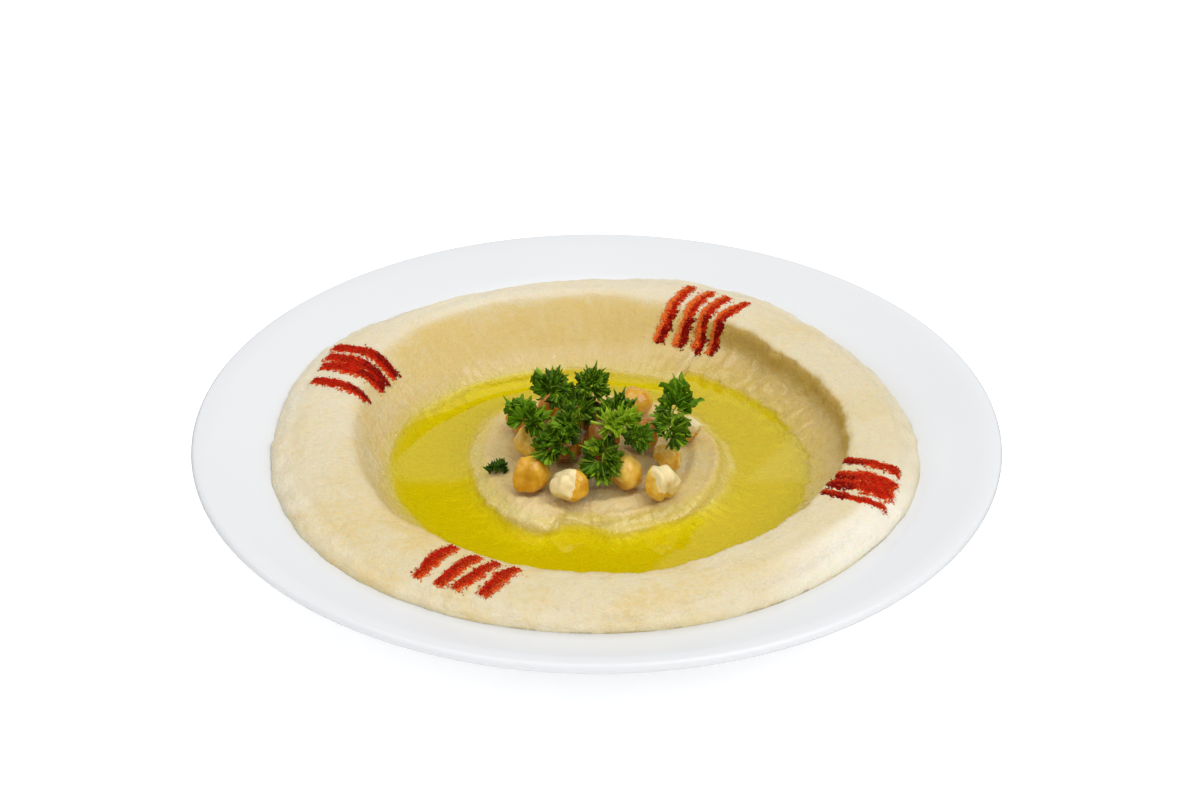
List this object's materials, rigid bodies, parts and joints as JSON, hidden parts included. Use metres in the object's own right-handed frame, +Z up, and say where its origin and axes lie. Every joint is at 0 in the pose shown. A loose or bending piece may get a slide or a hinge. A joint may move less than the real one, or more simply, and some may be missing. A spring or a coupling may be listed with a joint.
{
  "type": "plate of hummus",
  "caption": "Shallow round plate of spread hummus with a moat of olive oil, a middle island of chickpeas and parsley, and paprika stripes on the ring.",
  "frame": {"origin": "middle of the plate's foot ring, on the surface that the plate stands on", "axes": "+Z up, -Y towards the eater, +X to the eater's right"},
  "size_m": [0.24, 0.24, 0.0424],
  "materials": {
    "plate": "glossy white glaze",
    "hummus": "moist smooth paste, cream to tan, with brick-red paprika stripes",
    "oil": "clear yellow olive oil with a still, mirror-like surface",
    "chickpea": "oily tan skin, cream inside where it has split",
    "parsley": "fresh curly leaf, slightly waxy"
  },
  "bodies": {
    "root": {"plate": "plate", "hummus": "hummus", "oil": "oil", "chickpea_1": "chickpea", "chickpea_2": "chickpea", "chickpea_3": "chickpea", "chickpea_4": "chickpea", "chickpea_5": "chickpea", "chickpea_6": "chickpea", "chickpea_7": "chickpea", "chickpea_8": "chickpea", "chickpea_9": "chickpea", "chickpea_10": "chickpea", "chickpea_11": "chickpea", "chickpea_12": "chickpea", "chickpea_13": "chickpea", "chickpea_14": "chickpea", "chickpea_15": "chickpea", "parsley_1": "parsley", "parsley_2": "parsley", "parsley_3": "parsley", "parsley_4": "parsley", "parsley_5": "parsley", "parsley_6": "parsley", "parsley_7": "parsley", "parsley_8": "parsley", "parsley_9": "parsley", "parsley_10": "parsley", "parsley_11": "parsley", "parsley_12": "parsley", "parsley_13": "parsley"}
  },
  "joints": []
}
